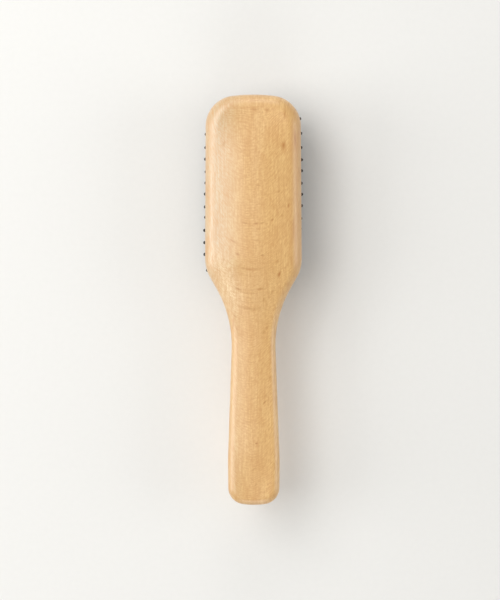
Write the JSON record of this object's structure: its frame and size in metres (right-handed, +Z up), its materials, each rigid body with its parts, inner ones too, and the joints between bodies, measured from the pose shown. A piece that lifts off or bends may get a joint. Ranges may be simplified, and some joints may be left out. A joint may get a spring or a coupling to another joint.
{
  "type": "cushion hair brush",
  "caption": "Wooden paddle brush with a domed rubber cushion and ball-tipped pins that rock and sink when pressed.",
  "frame": {"origin": "on the standing surface, under the middle of the brush's box; the brush stands level on its pin tips", "axes": "+Z up, from the pin tips towards the wooden back; +Y along the brush towards the head; +X across it"},
  "size_m": [0.0542, 0.22, 0.0425],
  "materials": {
    "wood": "satin",
    "rubber": "matte",
    "pins": "gloss",
    "backing_cloth": "matte"
  },
  "bodies": {
    "brush_body": {"wooden_body": "wood", "cushion": "rubber"},
    "cushion_back": {"backing_sheet": "backing_cloth"},
    "pins_c1_1": {"pins_c1_1": "pins"},
    "pins_c1_2": {"pins_c1_2": "pins"},
    "pins_c1_3": {"pins_c1_3": "pins"},
    "pins_c1_4": {"pins_c1_4": "pins"},
    "pins_c1_5": {"pins_c1_5": "pins"},
    "pins_c1_6": {"pins_c1_6": "pins"},
    "pins_c1_7": {"pins_c1_7": "pins"},
    "pins_c2_1": {"pins_c2_1": "pins"},
    "pins_c2_2": {"pins_c2_2": "pins"},
    "pins_c2_3": {"pins_c2_3": "pins"},
    "pins_c2_4": {"pins_c2_4": "pins"},
    "pins_c2_5": {"pins_c2_5": "pins"},
    "pins_c2_6": {"pins_c2_6": "pins"},
    "pins_c2_7": {"pins_c2_7": "pins"},
    "pins_c3_1": {"pins_c3_1": "pins"},
    "pins_c3_2": {"pins_c3_2": "pins"},
    "pins_c3_3": {"pins_c3_3": "pins"},
    "pins_c3_4": {"pins_c3_4": "pins"},
    "pins_c3_5": {"pins_c3_5": "pins"},
    "pins_c3_6": {"pins_c3_6": "pins"},
    "pins_c3_7": {"pins_c3_7": "pins"},
    "pins_c4_1": {"pins_c4_1": "pins"},
    "pins_c4_2": {"pins_c4_2": "pins"},
    "pins_c4_3": {"pins_c4_3": "pins"},
    "pins_c4_4": {"pins_c4_4": "pins"},
    "pins_c4_5": {"pins_c4_5": "pins"},
    "pins_c4_6": {"pins_c4_6": "pins"},
    "pins_c4_7": {"pins_c4_7": "pins"},
    "pins_c5_1": {"pins_c5_1": "pins"},
    "pins_c5_2": {"pins_c5_2": "pins"},
    "pins_c5_3": {"pins_c5_3": "pins"},
    "pins_c5_4": {"pins_c5_4": "pins"},
    "pins_c5_5": {"pins_c5_5": "pins"},
    "pins_c5_6": {"pins_c5_6": "pins"},
    "pins_c5_7": {"pins_c5_7": "pins"},
    "pins_c6_1": {"pins_c6_1": "pins"},
    "pins_c6_2": {"pins_c6_2": "pins"},
    "pins_c6_3": {"pins_c6_3": "pins"},
    "pins_c6_4": {"pins_c6_4": "pins"},
    "pins_c6_5": {"pins_c6_5": "pins"},
    "pins_c6_6": {"pins_c6_6": "pins"},
    "pins_c6_7": {"pins_c6_7": "pins"},
    "pins_c7_1": {"pins_c7_1": "pins"},
    "pins_c7_2": {"pins_c7_2": "pins"},
    "pins_c7_3": {"pins_c7_3": "pins"},
    "pins_c7_4": {"pins_c7_4": "pins"},
    "pins_c7_5": {"pins_c7_5": "pins"},
    "pins_c7_6": {"pins_c7_6": "pins"},
    "pins_c7_7": {"pins_c7_7": "pins"}
  },
  "joints": [
    {"name": "cushion_press", "type": "slide", "parent": "brush_body", "child": "cushion_back", "axis": [0, 0, 1], "range_m": [0, 0.004], "stiffness_N_per_m": 2000, "deforming": ["cushion"]},
    {"name": "rock_c1_1", "type": "hinge", "parent": "cushion_back", "child": "pins_c1_1", "pos_m": [-0.01785, 0.02318, 0.01942], "axis": [-0.2794, 0.9592, 0.0445], "range_deg": [-12, 12], "stiffness_Nm_per_rad": 0.04},
    {"name": "rock_c1_2", "type": "hinge", "parent": "cushion_back", "child": "pins_c1_2", "pos_m": [-0.0186, 0.03542, 0.01954], "axis": [0, 1, 0], "range_deg": [-12, 12], "stiffness_Nm_per_rad": 0.04},
    {"name": "rock_c1_3", "type": "hinge", "parent": "cushion_back", "child": "pins_c1_3", "pos_m": [-0.0186, 0.04832, 0.01954], "axis": [0, 1, 0], "range_deg": [-12, 12], "stiffness_Nm_per_rad": 0.04},
    {"name": "rock_c1_4", "type": "hinge", "parent": "cushion_back", "child": "pins_c1_4", "pos_m": [-0.0186, 0.06123, 0.01954], "axis": [0, 1, 0], "range_deg": [-12, 12], "stiffness_Nm_per_rad": 0.04},
    {"name": "rock_c1_5", "type": "hinge", "parent": "cushion_back", "child": "pins_c1_5", "pos_m": [-0.0186, 0.07412, 0.01954], "axis": [0, 1, 0], "range_deg": [-12, 12], "stiffness_Nm_per_rad": 0.04},
    {"name": "rock_c1_6", "type": "hinge", "parent": "cushion_back", "child": "pins_c1_6", "pos_m": [-0.0186, 0.08703, 0.01954], "axis": [0, 1, 0], "range_deg": [-12, 12], "stiffness_Nm_per_rad": 0.04},
    {"name": "rock_c1_7", "type": "hinge", "parent": "cushion_back", "child": "pins_c1_7", "pos_m": [-0.0171, 0.0954, 0.0193], "axis": [0.1318, 0.9677, 0.2151], "range_deg": [-12, 12], "stiffness_Nm_per_rad": 0.04},
    {"name": "rock_c2_1", "type": "hinge", "parent": "cushion_back", "child": "pins_c2_1", "pos_m": [-0.0124, 0.0193, 0.0184], "axis": [0, 0.9231, -0.3845], "range_deg": [-12, 12], "stiffness_Nm_per_rad": 0.04},
    {"name": "rock_c2_2", "type": "hinge", "parent": "cushion_back", "child": "pins_c2_2", "pos_m": [-0.0124, 0.0322, 0.01688], "axis": [0, 1, 0], "range_deg": [-12, 12], "stiffness_Nm_per_rad": 0.04},
    {"name": "rock_c2_3", "type": "hinge", "parent": "cushion_back", "child": "pins_c2_3", "pos_m": [-0.0124, 0.0451, 0.01688], "axis": [0, 1, 0], "range_deg": [-12, 12], "stiffness_Nm_per_rad": 0.04},
    {"name": "rock_c2_4", "type": "hinge", "parent": "cushion_back", "child": "pins_c2_4", "pos_m": [-0.0124, 0.058, 0.01688], "axis": [0, 1, 0], "range_deg": [-12, 12], "stiffness_Nm_per_rad": 0.04},
    {"name": "rock_c2_5", "type": "hinge", "parent": "cushion_back", "child": "pins_c2_5", "pos_m": [-0.0124, 0.0709, 0.01688], "axis": [0, 1, 0], "range_deg": [-12, 12], "stiffness_Nm_per_rad": 0.04},
    {"name": "rock_c2_6", "type": "hinge", "parent": "cushion_back", "child": "pins_c2_6", "pos_m": [-0.0124, 0.0838, 0.01688], "axis": [0, 1, 0], "range_deg": [-12, 12], "stiffness_Nm_per_rad": 0.04},
    {"name": "rock_c2_7", "type": "hinge", "parent": "cushion_back", "child": "pins_c2_7", "pos_m": [-0.0124, 0.0967, 0.0184], "axis": [0, 0.9231, 0.3845], "range_deg": [-12, 12], "stiffness_Nm_per_rad": 0.04},
    {"name": "rock_c3_1", "type": "hinge", "parent": "cushion_back", "child": "pins_c3_1", "pos_m": [-0.0062, 0.02252, 0.01725], "axis": [0, 0.9883, -0.1528], "range_deg": [-12, 12], "stiffness_Nm_per_rad": 0.04},
    {"name": "rock_c3_2", "type": "hinge", "parent": "cushion_back", "child": "pins_c3_2", "pos_m": [-0.0062, 0.03542, 0.01675], "axis": [0, 1, 0], "range_deg": [-12, 12], "stiffness_Nm_per_rad": 0.04},
    {"name": "rock_c3_3", "type": "hinge", "parent": "cushion_back", "child": "pins_c3_3", "pos_m": [-0.0062, 0.04832, 0.01675], "axis": [0, 1, 0], "range_deg": [-12, 12], "stiffness_Nm_per_rad": 0.04},
    {"name": "rock_c3_4", "type": "hinge", "parent": "cushion_back", "child": "pins_c3_4", "pos_m": [-0.0062, 0.06123, 0.01675], "axis": [0, 1, 0], "range_deg": [-12, 12], "stiffness_Nm_per_rad": 0.04},
    {"name": "rock_c3_5", "type": "hinge", "parent": "cushion_back", "child": "pins_c3_5", "pos_m": [-0.0062, 0.07412, 0.01675], "axis": [0, 1, 0], "range_deg": [-12, 12], "stiffness_Nm_per_rad": 0.04},
    {"name": "rock_c3_6", "type": "hinge", "parent": "cushion_back", "child": "pins_c3_6", "pos_m": [-0.0062, 0.08703, 0.01675], "axis": [0, 1, 0], "range_deg": [-12, 12], "stiffness_Nm_per_rad": 0.04},
    {"name": "rock_c3_7", "type": "hinge", "parent": "cushion_back", "child": "pins_c3_7", "pos_m": [-0.0062, 0.0967, 0.01775], "axis": [0.0117, 0.9782, 0.2073], "range_deg": [-12, 12], "stiffness_Nm_per_rad": 0.04},
    {"name": "rock_c4_1", "type": "hinge", "parent": "cushion_back", "child": "pins_c4_1", "pos_m": [0, 0.0193, 0.01816], "axis": [0, 0.9243, -0.3817], "range_deg": [-12, 12], "stiffness_Nm_per_rad": 0.04},
    {"name": "rock_c4_2", "type": "hinge", "parent": "cushion_back", "child": "pins_c4_2", "pos_m": [0, 0.0322, 0.01675], "axis": [0, 1, 0], "range_deg": [-12, 12], "stiffness_Nm_per_rad": 0.04},
    {"name": "rock_c4_3", "type": "hinge", "parent": "cushion_back", "child": "pins_c4_3", "pos_m": [0, 0.0451, 0.01675], "axis": [0, 1, 0], "range_deg": [-12, 12], "stiffness_Nm_per_rad": 0.04},
    {"name": "rock_c4_4", "type": "hinge", "parent": "cushion_back", "child": "pins_c4_4", "pos_m": [0, 0.058, 0.01675], "axis": [0, 1, 0], "range_deg": [-12, 12], "stiffness_Nm_per_rad": 0.04},
    {"name": "rock_c4_5", "type": "hinge", "parent": "cushion_back", "child": "pins_c4_5", "pos_m": [0, 0.0709, 0.01675], "axis": [0, 1, 0], "range_deg": [-12, 12], "stiffness_Nm_per_rad": 0.04},
    {"name": "rock_c4_6", "type": "hinge", "parent": "cushion_back", "child": "pins_c4_6", "pos_m": [0, 0.0838, 0.01675], "axis": [0, 1, 0], "range_deg": [-12, 12], "stiffness_Nm_per_rad": 0.04},
    {"name": "rock_c4_7", "type": "hinge", "parent": "cushion_back", "child": "pins_c4_7", "pos_m": [0, 0.0967, 0.01816], "axis": [0, 0.9243, 0.3817], "range_deg": [-12, 12], "stiffness_Nm_per_rad": 0.04},
    {"name": "rock_c5_1", "type": "hinge", "parent": "cushion_back", "child": "pins_c5_1", "pos_m": [0.0062, 0.02252, 0.01725], "axis": [0, 0.9883, -0.1528], "range_deg": [-12, 12], "stiffness_Nm_per_rad": 0.04},
    {"name": "rock_c5_2", "type": "hinge", "parent": "cushion_back", "child": "pins_c5_2", "pos_m": [0.0062, 0.03542, 0.01675], "axis": [0, 1, 0], "range_deg": [-12, 12], "stiffness_Nm_per_rad": 0.04},
    {"name": "rock_c5_3", "type": "hinge", "parent": "cushion_back", "child": "pins_c5_3", "pos_m": [0.0062, 0.04832, 0.01675], "axis": [0, 1, 0], "range_deg": [-12, 12], "stiffness_Nm_per_rad": 0.04},
    {"name": "rock_c5_4", "type": "hinge", "parent": "cushion_back", "child": "pins_c5_4", "pos_m": [0.0062, 0.06123, 0.01675], "axis": [0, 1, 0], "range_deg": [-12, 12], "stiffness_Nm_per_rad": 0.04},
    {"name": "rock_c5_5", "type": "hinge", "parent": "cushion_back", "child": "pins_c5_5", "pos_m": [0.0062, 0.07412, 0.01675], "axis": [0, 1, 0], "range_deg": [-12, 12], "stiffness_Nm_per_rad": 0.04},
    {"name": "rock_c5_6", "type": "hinge", "parent": "cushion_back", "child": "pins_c5_6", "pos_m": [0.0062, 0.08703, 0.01675], "axis": [0, 1, 0], "range_deg": [-12, 12], "stiffness_Nm_per_rad": 0.04},
    {"name": "rock_c5_7", "type": "hinge", "parent": "cushion_back", "child": "pins_c5_7", "pos_m": [0.0062, 0.0967, 0.01775], "axis": [-0.0117, 0.9782, 0.2073], "range_deg": [-12, 12], "stiffness_Nm_per_rad": 0.04},
    {"name": "rock_c6_1", "type": "hinge", "parent": "cushion_back", "child": "pins_c6_1", "pos_m": [0.0124, 0.0193, 0.0184], "axis": [0, 0.9231, -0.3845], "range_deg": [-12, 12], "stiffness_Nm_per_rad": 0.04},
    {"name": "rock_c6_2", "type": "hinge", "parent": "cushion_back", "child": "pins_c6_2", "pos_m": [0.0124, 0.0322, 0.01688], "axis": [0, 1, 0], "range_deg": [-12, 12], "stiffness_Nm_per_rad": 0.04},
    {"name": "rock_c6_3", "type": "hinge", "parent": "cushion_back", "child": "pins_c6_3", "pos_m": [0.0124, 0.0451, 0.01688], "axis": [0, 1, 0], "range_deg": [-12, 12], "stiffness_Nm_per_rad": 0.04},
    {"name": "rock_c6_4", "type": "hinge", "parent": "cushion_back", "child": "pins_c6_4", "pos_m": [0.0124, 0.058, 0.01688], "axis": [0, 1, 0], "range_deg": [-12, 12], "stiffness_Nm_per_rad": 0.04},
    {"name": "rock_c6_5", "type": "hinge", "parent": "cushion_back", "child": "pins_c6_5", "pos_m": [0.0124, 0.0709, 0.01688], "axis": [0, 1, 0], "range_deg": [-12, 12], "stiffness_Nm_per_rad": 0.04},
    {"name": "rock_c6_6", "type": "hinge", "parent": "cushion_back", "child": "pins_c6_6", "pos_m": [0.0124, 0.0838, 0.01688], "axis": [0, 1, 0], "range_deg": [-12, 12], "stiffness_Nm_per_rad": 0.04},
    {"name": "rock_c6_7", "type": "hinge", "parent": "cushion_back", "child": "pins_c6_7", "pos_m": [0.0124, 0.0967, 0.0184], "axis": [0, 0.9231, 0.3845], "range_deg": [-12, 12], "stiffness_Nm_per_rad": 0.04},
    {"name": "rock_c7_1", "type": "hinge", "parent": "cushion_back", "child": "pins_c7_1", "pos_m": [0.01785, 0.02318, 0.01942], "axis": [0.2794, 0.9592, 0.0445], "range_deg": [-12, 12], "stiffness_Nm_per_rad": 0.04},
    {"name": "rock_c7_2", "type": "hinge", "parent": "cushion_back", "child": "pins_c7_2", "pos_m": [0.0186, 0.03542, 0.01954], "axis": [0, 1, 0], "range_deg": [-12, 12], "stiffness_Nm_per_rad": 0.04},
    {"name": "rock_c7_3", "type": "hinge", "parent": "cushion_back", "child": "pins_c7_3", "pos_m": [0.0186, 0.04832, 0.01954], "axis": [0, 1, 0], "range_deg": [-12, 12], "stiffness_Nm_per_rad": 0.04},
    {"name": "rock_c7_4", "type": "hinge", "parent": "cushion_back", "child": "pins_c7_4", "pos_m": [0.0186, 0.06123, 0.01954], "axis": [0, 1, 0], "range_deg": [-12, 12], "stiffness_Nm_per_rad": 0.04},
    {"name": "rock_c7_5", "type": "hinge", "parent": "cushion_back", "child": "pins_c7_5", "pos_m": [0.0186, 0.07412, 0.01954], "axis": [0, 1, 0], "range_deg": [-12, 12], "stiffness_Nm_per_rad": 0.04},
    {"name": "rock_c7_6", "type": "hinge", "parent": "cushion_back", "child": "pins_c7_6", "pos_m": [0.0186, 0.08703, 0.01954], "axis": [0, 1, 0], "range_deg": [-12, 12], "stiffness_Nm_per_rad": 0.04},
    {"name": "rock_c7_7", "type": "hinge", "parent": "cushion_back", "child": "pins_c7_7", "pos_m": [0.0171, 0.0954, 0.0193], "axis": [-0.1318, 0.9677, 0.2151], "range_deg": [-12, 12], "stiffness_Nm_per_rad": 0.04}
  ]
}
